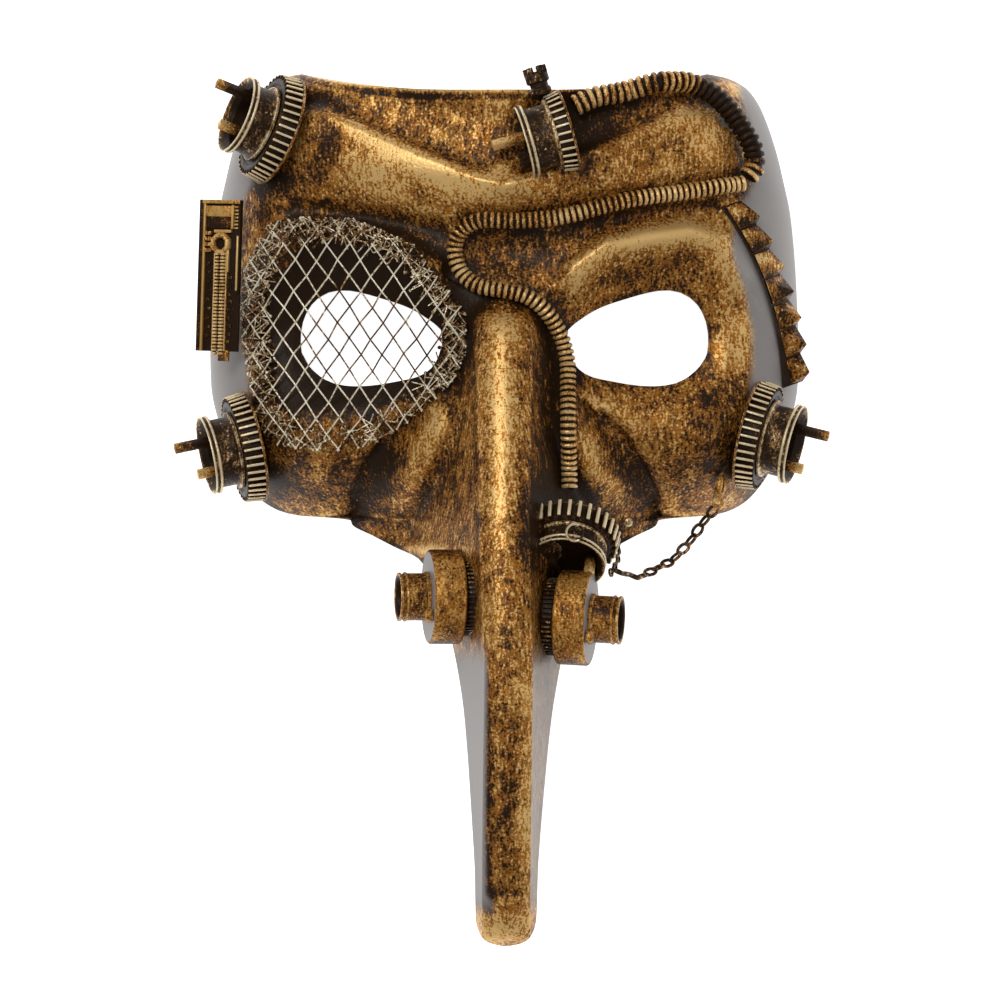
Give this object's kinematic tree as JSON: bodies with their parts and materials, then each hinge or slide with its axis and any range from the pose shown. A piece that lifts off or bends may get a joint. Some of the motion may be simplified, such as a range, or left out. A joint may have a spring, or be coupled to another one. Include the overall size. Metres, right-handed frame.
{
  "type": "steampunk mask",
  "caption": "Long-nosed carnival half mask in dry-brushed gold over black, with gears, ribbed hoses, drums, a netted eye and a chain, lying face up.",
  "frame": {"origin": "middle of the underside of the whole mask's box, on the surface it lies on", "axes": "+Z out of the face, +Y from the tip of the nose towards the top rim, +X towards the side with the spikes"},
  "size_m": [0.1974, 0.2608, 0.0903],
  "materials": {
    "moulding": "black plastic dry-brushed with antique gold, worn to cream on the crests",
    "wheel": "pale gold teeth with dark gaps",
    "cup": "dark bronze with gold rubbed on the rims",
    "pin": "bright gold, dull in the corners",
    "hose": "dark ribbed hose with brass rubbed on the ribs",
    "net": "pale wire, clogged with paint at the edges",
    "plate": "gold with dark recesses",
    "spikes": "black with gold rubbed on the edges",
    "chain": "dark antique bronze"
  },
  "bodies": {
    "root": {"mask_shell": "moulding", "upper_hose": "hose", "lower_hose": "hose", "temple_left_wheel": "wheel", "temple_left_cup": "cup", "temple_left_pin_1": "pin", "temple_left_pin_2": "pin", "cheek_left_wheel": "wheel", "cheek_left_cup": "cup", "cheek_left_pin_1": "pin", "cheek_left_pin_2": "pin", "cheek_right_wheel": "wheel", "cheek_right_cup": "cup", "cheek_right_pin_1": "pin", "cheek_right_pin_2": "pin", "brow_wheel": "wheel", "brow_cup": "cup", "brow_pin_1": "pin", "brow_pin_2": "pin", "nose_wheel": "wheel", "nose_cup": "cup", "nose_pin_1": "pin", "nose_pin_2": "pin", "eye_net": "net", "collar_left": "cup", "drum_left": "plate", "nozzle_left": "pin", "drum_bolt_left_1": "pin", "drum_bolt_left_2": "pin", "collar_right": "cup", "drum_right": "plate", "nozzle_right": "pin", "drum_bolt_right_1": "pin", "drum_bolt_right_2": "pin", "side_plate": "plate", "plate_window": "plate", "plate_rod": "hose", "plate_knob": "pin", "spike_strip": "spikes", "chain": "chain", "chain_clasp": "chain", "rivet": "cup", "brow_knob": "cup", "nose_eyelet": "cup"}
  },
  "joints": []
}
